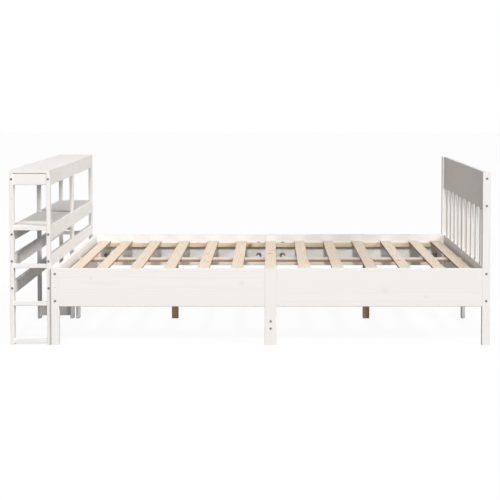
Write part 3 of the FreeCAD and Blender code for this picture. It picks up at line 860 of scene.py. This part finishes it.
@dataclass(frozen=True)
class HexagonNut:
    """An M8 nut whose corners are turned off at 30 degrees on both faces.

    Attributes:
        flats: the width across flats.
        height: the nut's height.
        hole: the bore's radius.
        mouth: the size of the bevel at the bore's ends.
        face_share: the chamfer circle's share of the width across flats.
    """

    flats: float = 13.0
    height: float = 6.5
    hole: float = 4.1
    mouth: float = 0.5
    face_share: float = 0.97

    def shell(self) -> Shell:
        """Makes the nut along X from X = 0.

        At a radius r past the chamfer circle's c, a face lies (r - c) tan 30 lower than inside it.

        Returns:
            The nut.
        """
        angle = round_angles(48)
        outline, circle = self.flats / 2 * hexagon(angle), self.flats / 2 * self.face_share
        drop = (outline - circle) * math.tan(math.radians(30))
        top, wide, nought = self.height, self.hole + self.mouth, np.zeros_like(angle)
        rows = [(0.0, wide), (0.0, circle), (drop, outline), (top - drop, outline),
                (top, circle), (top, wide), (top - self.mouth, self.hole), (self.mouth, self.hole)]
        grid = [swept(nought + along, nought + reach, angle) for along, reach in rows]
        return ring_grid(np.stack(grid), ring=True)


@dataclass(frozen=True)
class HalfMoonWasher:
    """A thick washer with one round back that beds in a drilled pocket, and one flat face for the nut.

    Round the bolt's axis, a row reaches from the hole towards a rectangle's outline. The flat face has
    X = 0, and the back has X = sqrt(R squared - z squared) - c, for the back's radius R and the flat's
    distance c from the pocket's middle.

    Attributes:
        radius: the round back's radius R.
        chord: the flat's distance c from the pocket's middle.
        width: the washer's width.
        hole: the hole's radius.
        edge: how far the outer edges are rounded inwards.
        front_drop, back_drop: how far they lie below the flat face and the back.
        end_cut: how far each sharp end is cut short.
        thinnest: the least thickness at the ends.
    """

    radius: float = 15.8
    chord: float = 11.0
    width: float = 14.0
    hole: float = 4.2
    edge: float = 0.6
    front_drop: float = 0.3
    back_drop: float = 0.2
    end_cut: float = 0.9
    thinnest: float = 0.4

    def back(self, reach: np.ndarray, angle: np.ndarray) -> np.ndarray:
        """How far the round back lies from the flat face, at a reach and an angle from the axis."""
        return np.sqrt(self.radius ** 2 - (reach * np.sin(angle)) ** 2) - self.chord

    def shell(self) -> Shell:
        """Makes the washer with its flat face at X = 0 and its width along Y.

        Returns:
            The washer, with its round back towards +X.
        """
        angle = round_angles(64)
        half_height = math.sqrt(self.radius ** 2 - self.chord ** 2) - self.end_cut
        outline = np.minimum(self.width / 2 / np.maximum(np.abs(np.cos(angle)), 1e-9),
                             half_height / np.maximum(np.abs(np.sin(angle)), 1e-9))
        out = self.hole + np.linspace(0.0, 1.0, 5)[:, None] * (outline - self.edge - self.hole)
        rim = np.maximum(self.back(outline, angle) - self.back_drop, self.thinnest)
        along = np.vstack([np.zeros_like(out), np.full_like(outline, self.front_drop),
                           rim, self.back(out[::-1], angle)])
        return ring_grid(swept(along, np.vstack([out, outline, outline, out[::-1]]), angle), ring=True)


@dataclass
class Fixings:
    """The plated steel screws, bolts, nuts and washers, and the small pins in the low legs.

    Each stands where its CAD solid does. Its place is worked out from the boards that it joins, on the
    right side of the bed, and the left side is its mirror image.

    Attributes:
        board_screw, stretcher_screw, rail_screw, tie_screw: the screws' reach below the wood's face.
        bolt, bolt_thread: a corner bolt's reach and how much of that is thread.
        rod_half: half the length of a rod through a middle leg.
        screw_spacing, stretcher_spacing, bolt_spacing: from the lower screw or bolt to the upper.
        panel_drop: how far a head panel's screws lie below its middle.
        pocket_setback: from a rail's end to the middle of its pocket.
        nut_setback: from an end board's end to its barrel nuts.
        nut_length, nut_radius: a barrel nut's size.
        nut_edge: the bevel on a barrel nut's rims.
        spacer_radius, spacer_hole, spacer_edge: a spacer's outer and inner radius and its bevel.
        tie_levels: the heights of the ties between bookcase and bed.
        pin_level: the height of the pins.
        pin_radius, pin_edge: a pin's radius and the bevel on its head.
        pin_proud, pin_depth: how far it reaches before and behind the leg's face.
        sharp_degrees: the bend past which an edge looks sharp.
    """

    board_screw: float = 68.0
    stretcher_screw: float = 58.0
    rail_screw: float = 70.0
    tie_screw: float = 43.0
    bolt: float = 76.0
    bolt_thread: float = 17.0
    rod_half: float = 65.4
    screw_spacing: float = 127.0
    stretcher_spacing: float = 34.0
    bolt_spacing: float = 64.0
    panel_drop: float = 5.0
    pocket_setback: float = 41.0
    nut_setback: float = 32.0
    nut_length: float = 13.0
    nut_radius: float = 5.0
    nut_edge: float = 0.6
    spacer_radius: float = 8.0
    spacer_hole: float = 3.3
    spacer_edge: float = 0.4
    tie_levels: tuple[float, float] = (70.0, 150.0)
    pin_level: float = 272.0
    pin_radius: float = 1.9
    pin_edge: float = 0.4
    pin_proud: float = 0.05
    pin_depth: float = 0.5
    sharp_degrees: float = 35.0

    def build(self) -> None:
        """Makes every fixing and puts it in the place of its CAD node."""
        plated = PLATED.material("fixings", UNCUT)
        for name, shells, *nodes in (
                ("bed_screw_heads", self.bed_screws(), "bed_screws"),
                ("case_screw_heads", self.case_screws(), "case_screws"),
                ("corner_bolts", self.corner_bolts(), "rail_bolts"),
                ("middle_leg_rods", self.rods(), "rail_rods"),
                ("pocket_washers", self.washers(), "half_moon_washers"),
                ("pocket_nuts", self.nuts(), "rail_nuts"),
                ("board_barrel_nuts", self.barrel_nuts(), "barrel_nuts"),
                ("case_tie_screws", self.tie_screws(), "link_screws"),
                ("case_tie_spacers", self.spacers(), "link_spacers"),
                ("low_leg_pins", self.pins())):
            self.add(name, shells, plated, *nodes)

    def add(self, name: str, shells: list[Shell], finish: bpy.types.Material, *nodes: str) -> None:
        """Puts shells and their mirror images into one piece.

        Args:
            name: the piece's name.
            shells: the right side's shells.
            finish: the piece's material.
            nodes: the CAD nodes that the piece stands for.
        """
        both = shells + [shell.mirrored() for shell in shells]
        starts = np.cumsum([0] + [len(shell.points) for shell in both])
        faces = [tuple(corner + int(start) for corner in face)
                 for shell, start in zip(both, starts) for face in shell.faces]
        points = np.concatenate([shell.points for shell in both]) * MM
        mesh = bpy.data.meshes.new(name)
        mesh.from_pydata(points.tolist(), [], faces)
        mesh.shade_smooth()
        mesh.set_sharp_from_angle(angle=math.radians(self.sharp_degrees))
        mesh.materials.append(finish)
        piece = bpy.data.objects.new(name, mesh)
        bpy.context.scene.collection.objects.link(piece)
        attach(piece, "root")
        if nodes:
            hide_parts(*nodes)
        LOG.info("%s: %d pieces", name, len(both))

    def board_levels(self) -> tuple[float, float]:
        """The heights of the screws in the foot boards and the lower head boards."""
        return pair_about(middle("foot_board_right", Axis.Z), self.screw_spacing)

    def panel_levels(self) -> tuple[float, float]:
        """The heights of the screws in the head panels."""
        return pair_about(middle("head_panel_right", Axis.Z) - self.panel_drop, self.screw_spacing)

    def bolt_places(self) -> list[tuple[float, float]]:
        """The place across the bed and the height of each line of bolts, in the rail's middle."""
        y = middle("side_rail_right_foot", Axis.Y)
        return [(y, z) for z in pair_about(middle("side_rail_right_foot", Axis.Z), self.bolt_spacing)]

    def tie_places(self) -> list[tuple[float, float, float]]:
        """Finds where the bookcase's ties leave its front post.

        Returns:
            The places, half way across the strip that post and leg share.
        """
        start = span("case_post_front_right", Axis.Y)[0]
        end = span("foot_leg_right", Axis.Y)[1]
        front = span("case_post_front_right", Axis.X)[1]
        return [(front, (start + end) / 2, z) for z in self.tie_levels]

    def bed_screws(self) -> list[Shell]:
        """Makes the socket screws through the legs into the end boards and the stretcher.

        Returns:
            The right side's screws.
        """
        side = span("foot_leg_right", Axis.Y)[0]
        places = [(self.board_screw, middle("foot_leg_right", Axis.X), z) for z in self.board_levels()]
        places += [(self.board_screw, middle("head_post_right", Axis.X), z)
                   for z in self.board_levels() + self.panel_levels()]
        places += [(self.stretcher_screw, middle("middle_leg_right", Axis.X), z)
                   for z in pair_about(middle("middle_stretcher", Axis.Z), self.stretcher_spacing)]
        return [SocketScrew().shell(length).placed((x, side, z), INWARD) for length, x, z in places]

    def case_screws(self) -> list[Shell]:
        """Makes the socket screws through the bookcase's posts into its long rails.

        Returns:
            The right side's screws.
        """
        screw = SocketScrew().shell(self.rail_screw)
        side = span("case_post_front_right", Axis.Y)[0]
        return [screw.placed((middle(f"case_post_{depth}_right", Axis.X), side,
                              middle(f"case_{level}_rails", Axis.Z)), INWARD)
                for depth in ("front", "back") for level in ("top", "shelf", "middle", "lower")]

    def corner_bolts(self) -> list[Shell]:
        """Makes the bolts through the corner legs to the rails' end pockets.

        Returns:
            The right side's bolts, each a headed shank and a threaded end that starts inside it.
        """
        plain = self.bolt - self.bolt_thread
        shank = SocketScrew(head=13.0, height=4.5, shank=7.0, socket=5.0, sunk=0.5).shell(plain + 1.0)
        thread = ThreadedEnd().shell(self.bolt_thread)
        ends = ((span("foot_leg_right", Axis.X)[0], 1.0), (span("head_post_right", Axis.X)[1], -1.0))
        shells = []
        for y, z in self.bolt_places():
            for end, way in ends:
                shells.append(shank.placed((end, y, z), ALONG * way))
                shells.append(thread.placed((end + way * plain, y, z), ALONG * way))
        return shells

    def rods(self) -> list[Shell]:
        """Threaded rods through the middle legs, from pocket to pocket."""
        half, x = ThreadedEnd().shell(self.rod_half), middle("middle_leg_right", Axis.X)
        return [half.placed((x, y, z), ALONG * way)
                for y, z in self.bolt_places() for way in (1.0, -1.0)]

    def in_pockets(self, shell: Shell, from_middle: float) -> list[Shell]:
        """Puts a shell into the pocket at each end of both right rails.

        Args:
            shell: the shell, whose X points to the pocket's leg.
            from_middle: how far it lies from the pocket's middle, towards the leg.

        Returns:
            The shells in their places.
        """
        ends = [(end, way) for rail in ("side_rail_right_foot", "side_rail_right_head")
                for end, way in zip(span(rail, Axis.X), (-1.0, 1.0))]
        return [shell.placed((end - way * (self.pocket_setback - from_middle), y, z), ALONG * way)
                for y, z in self.bolt_places() for end, way in ends]

    def washers(self) -> list[Shell]:
        """Half-moon washers against the leg's side of each pocket."""
        return self.in_pockets(HalfMoonWasher().shell(), HalfMoonWasher().chord)

    def nuts(self) -> list[Shell]:
        """Nuts on the washers' flat faces."""
        return self.in_pockets(HexagonNut().shell(), HalfMoonWasher().chord - HexagonNut().height)

    def barrel_nuts(self) -> list[Shell]:
        """Makes the barrel nuts in the end boards, each with bevelled rims.

        Returns:
            The right side's barrel nuts.
        """
        long, wide, edge = self.nut_length, self.nut_radius, self.nut_edge
        nut = turned([(0.0, AXIS_FACE), (0.0, wide - edge), (edge, wide), (long - edge, wide),
                      (long, wide - edge), (long, AXIS_FACE)])
        y = span("foot_leg_right", Axis.Y)[1] + self.nut_setback
        places = [(middle("foot_board_right", Axis.X), z) for z in self.board_levels()]
        places += [(middle("head_lower_boards", Axis.X), z)
                   for z in self.board_levels() + self.panel_levels()]
        return [nut.placed((x - long / 2, y, z), ALONG) for x, z in places]

    def tie_screws(self) -> list[Shell]:
        """Socket screws from inside the bookcase through its front posts into the low legs."""
        screw, back = SocketScrew().shell(self.tie_screw), span("case_post_front_right", Axis.X)[0]
        return [screw.placed((back, y, z), ALONG) for _, y, z in self.tie_places()]

    def spacers(self) -> list[Shell]:
        """Makes the flat rings that keep the bookcase off the bed's low end.

        Returns:
            The right side's spacers.
        """
        gap = span("foot_leg_right", Axis.X)[0] - span("case_post_front_right", Axis.X)[1]
        wide, hole, edge = self.spacer_radius, self.spacer_hole, self.spacer_edge
        ring = turned([(0.0, hole), (0.0, wide - edge), (edge, wide), (gap - edge, wide),
                       (gap, wide - edge), (gap, hole)], ring=True)
        return [ring.placed(place, ALONG) for place in self.tie_places()]

    def pins(self) -> list[Shell]:
        """Makes the small pin in the outer face of each low leg, half way between its screws.

        Returns:
            The right side's pin.
        """
        wide, proud, depth = self.pin_radius, self.pin_proud, self.pin_depth
        pin = turned([(-proud, AXIS_FACE), (-proud, wide - self.pin_edge), (depth / 2, wide),
                      (depth, wide), (depth, AXIS_FACE)], 20)
        x, side = middle("foot_leg_right", Axis.X), span("foot_leg_right", Axis.Y)[0]
        return [pin.placed((x, side, self.pin_level), INWARD)]


def hang(name: str, lamp: bpy.types.Light, towards: Vector) -> bpy.types.Object:
    """Puts a lamp into the scene.

    Args:
        name: the lamp's name.
        lamp: its light.
        towards: the direction from the bed to the lamp.

    Returns:
        The lamp's object, turned to the bed.
    """
    stand = bpy.data.objects.new(name, lamp)
    stand.rotation_euler = towards.to_track_quat("Z", "Y").to_euler()
    bpy.context.scene.collection.objects.link(stand)
    return stand


@dataclass(frozen=True)
class SoftBox:
    """A round soft box, which throws the bed's main shadows.

    Attributes:
        place: where it hangs.
        target: the point that it faces.
        width: its diameter.
        light: what it gives at the target, in watts per square metre.
    """

    place: tuple[float, float, float] = (-0.4, -14.0, 12.1)
    target: tuple[float, float, float] = (0.0, 0.0, 0.4)
    width: float = 1.8
    light: float = 1.72

    def build(self) -> None:
        """Hangs the soft box high in front of the bed.

        A flat lamp of power P gives P / (pi d squared) at the distance d, so its light falls off a
        little from the near side rail to the far one, as in the photograph.
        """
        ray = Vector(self.place) - Vector(self.target)
        lamp = bpy.data.lights.new("soft_box", "AREA")
        lamp.shape = "DISK"
        lamp.size = self.width
        lamp.energy = self.light * math.pi * ray.length_squared
        stand = hang("soft_box", lamp, ray)
        stand.location = self.place
        stand.visible_camera = False


@dataclass(frozen=True)
class FarLamp:
    """A lamp so far off that only its direction counts.

    Attributes:
        name: the lamp's name.
        towards: the direction from the bed to the lamp.
        light: what it gives, in watts per square metre.
        width_degrees: how wide it looks from the bed, which softens its shadows.
        mirrored: whether glossy surfaces show it.
    """

    name: str
    towards: tuple[float, float, float]
    light: float
    width_degrees: float
    mirrored: bool = True

    def build(self) -> None:
        """Hangs the lamp."""
        lamp = bpy.data.lights.new(self.name, "SUN")
        lamp.energy = self.light
        lamp.angle = math.radians(self.width_degrees)
        hang(self.name, lamp, Vector(self.towards)).visible_glossy = self.mirrored


@dataclass
class Studio:
    """The photographer's room: camera, lamps, pale floor and white surroundings.

    Attributes:
        eye: where the camera stands.
        lens_mm, film_mm: its focal length and its film's width.
        shift: how far its film is shifted, in film widths.
        tilt_degrees: how far it looks down. With the shift it frames the bed as the photograph does.
        soft_box, far_lamps: the lamps.
        floor_reach: half the floor's width.
        floor_grey, floor_white: the floor's colour for the light that it throws back, and as seen.
        floor_glow: how much of the seen floor is plain white, so that only a faint shadow is left.
        ambient: the surroundings' light at the horizon.
        ambient_top: the height in a direction at which that light would come to nought.
    """

    eye: tuple[float, float, float] = (0.0974, -6.7135, 1.1907)
    lens_mm: float = 92.731
    film_mm: float = 36.0
    shift: tuple[float, float] = (-0.0419, -0.2061)
    tilt_degrees: float = 2.5
    soft_box: SoftBox = SoftBox()
    far_lamps: tuple[FarLamp, ...] = (
        FarLamp("wide_lamp", (0.0, -0.707, 0.707), 0.3, 60.0),
        FarLamp("side_lamp", (0.77, -0.445, 0.457), 1.95, 20.0),
        FarLamp("back_lamp", (0.084, 0.962, 0.259), 0.7, 30.0, mirrored=False),
    )
    floor_reach: float = 30.0
    floor_grey: str = "#8C8C8C"
    floor_white: str = "#FFFFFF"
    floor_glow: float = 0.94
    ambient: float = 0.38
    ambient_top: float = 1.2

    def build(self) -> None:
        """Sets up everything round the bed."""
        self.set_camera()
        for lamp in (self.soft_box, *self.far_lamps):
            lamp.build()
        self.add_floor()
        self.set_world()
        bpy.context.scene.view_settings.view_transform = "Standard"

    def set_camera(self) -> None:
        """Stands a camera square to the bed's side, nearly level, its film shifted as in the photograph."""
        camera = bpy.data.cameras.new("camera")
        camera.lens = self.lens_mm
        camera.sensor_width = self.film_mm
        camera.shift_x, camera.shift_y = self.shift
        stand = bpy.data.objects.new("camera", camera)
        stand.location = self.eye
        stand.rotation_euler = (math.radians(90 - self.tilt_degrees), 0.0, 0.0)
        bpy.context.scene.collection.objects.link(stand)
        bpy.context.scene.camera = stand

    @staticmethod
    def seen_directly(tree: Tree) -> Socket:
        """Tells the rays that show a surface from the rays that light one.

        Args:
            tree: the material's or the world's node tree.

        Returns:
            A socket that is 1 for the eye, a mirror or glass, and 0 for light that spreads.
        """
        rays = add_node(tree, "ShaderNodeLightPath").outputs
        eye_or_gloss = add_node(tree, "ShaderNodeMath", {
            0: rays["Is Camera Ray"], 1: rays["Is Glossy Ray"]}, operation="MAXIMUM").outputs[0]
        return add_node(tree, "ShaderNodeMath", {0: eye_or_gloss, 1: rays["Is Transmission Ray"]},
                        operation="MAXIMUM").outputs[0]

    def add_floor(self) -> None:
        """Lays a floor of rolled-out matt vinyl: an even white with no gloss, and a faint shadow."""
        reach = self.floor_reach
        corners = [(-reach, -reach, 0.0), (reach, -reach, 0.0), (reach, reach, 0.0), (-reach, reach, 0.0)]
        mesh = bpy.data.meshes.new("studio_floor")
        mesh.from_pydata(corners, [], [(0, 1, 2, 3)])
        floor = bpy.data.objects.new("studio_floor", mesh)
        bpy.context.scene.collection.objects.link(floor)
        made = bpy.data.materials.new("matt_white_vinyl_floor")
        made.use_nodes = True
        tree = made.node_tree
        tree.nodes.clear()
        seen, white = self.seen_directly(tree), linear(self.floor_white)
        lit = add_node(tree, "ShaderNodeBsdfDiffuse", {
            "Color": blend(tree, seen, linear(self.floor_grey), white)}).outputs["BSDF"]
        glow = add_node(tree, "ShaderNodeEmission", {"Color": white, "Strength": 1.0}).outputs["Emission"]
        share = add_node(tree, "ShaderNodeMath", {0: seen, 1: self.floor_glow}, operation="MULTIPLY")
        mix = add_node(tree, "ShaderNodeMixShader", {0: share.outputs[0], 1: lit, 2: glow})
        add_node(tree, "ShaderNodeOutputMaterial", {"Surface": mix.outputs[0]})
        mesh.materials.append(made)

    def set_world(self) -> None:
        """Surrounds the bed with soft light that the camera sees as white.

        It is strongest at the horizon, as from pale studio walls, and falls evenly with a direction's
        height z, so that it is a sixth as strong overhead, under the dark ceiling.
        """
        world = bpy.data.worlds.new("studio")
        bpy.context.scene.world = world
        world.use_nodes = True
        tree = world.node_tree
        tree.nodes.clear()
        way = add_node(tree, "ShaderNodeTexCoord").outputs["Generated"]
        height = add_node(tree, "ShaderNodeSeparateXYZ", {"Vector": way}).outputs["Z"]
        strength = add_node(tree, "ShaderNodeMapRange", {
            "Value": height, "From Min": 0.0, "From Max": self.ambient_top,
            "To Min": self.ambient, "To Max": 0.0}).outputs["Result"]
        light, white = (
            add_node(tree, "ShaderNodeBackground", {"Color": linear("#FFFFFF"), "Strength": level})
            for level in (strength, 1.0))
        mix = add_node(tree, "ShaderNodeMixShader", {
            0: self.seen_directly(tree), 1: light.outputs[0], 2: white.outputs[0]})
        add_node(tree, "ShaderNodeOutputWorld", {"Surface": mix.outputs[0]})


def main() -> None:
    """Dresses the bed's sub-assemblies in order and sets up the studio."""
    logging.basicConfig(level=logging.INFO, format="%(message)s")
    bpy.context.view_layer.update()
    seed = 1
    for assembly in (Bookcase(), Bedstead(), SlatBase()):
        seed = assembly.dress(seed)
    Fixings().build()
    Studio().build()


if __name__ == "__main__":
    main()
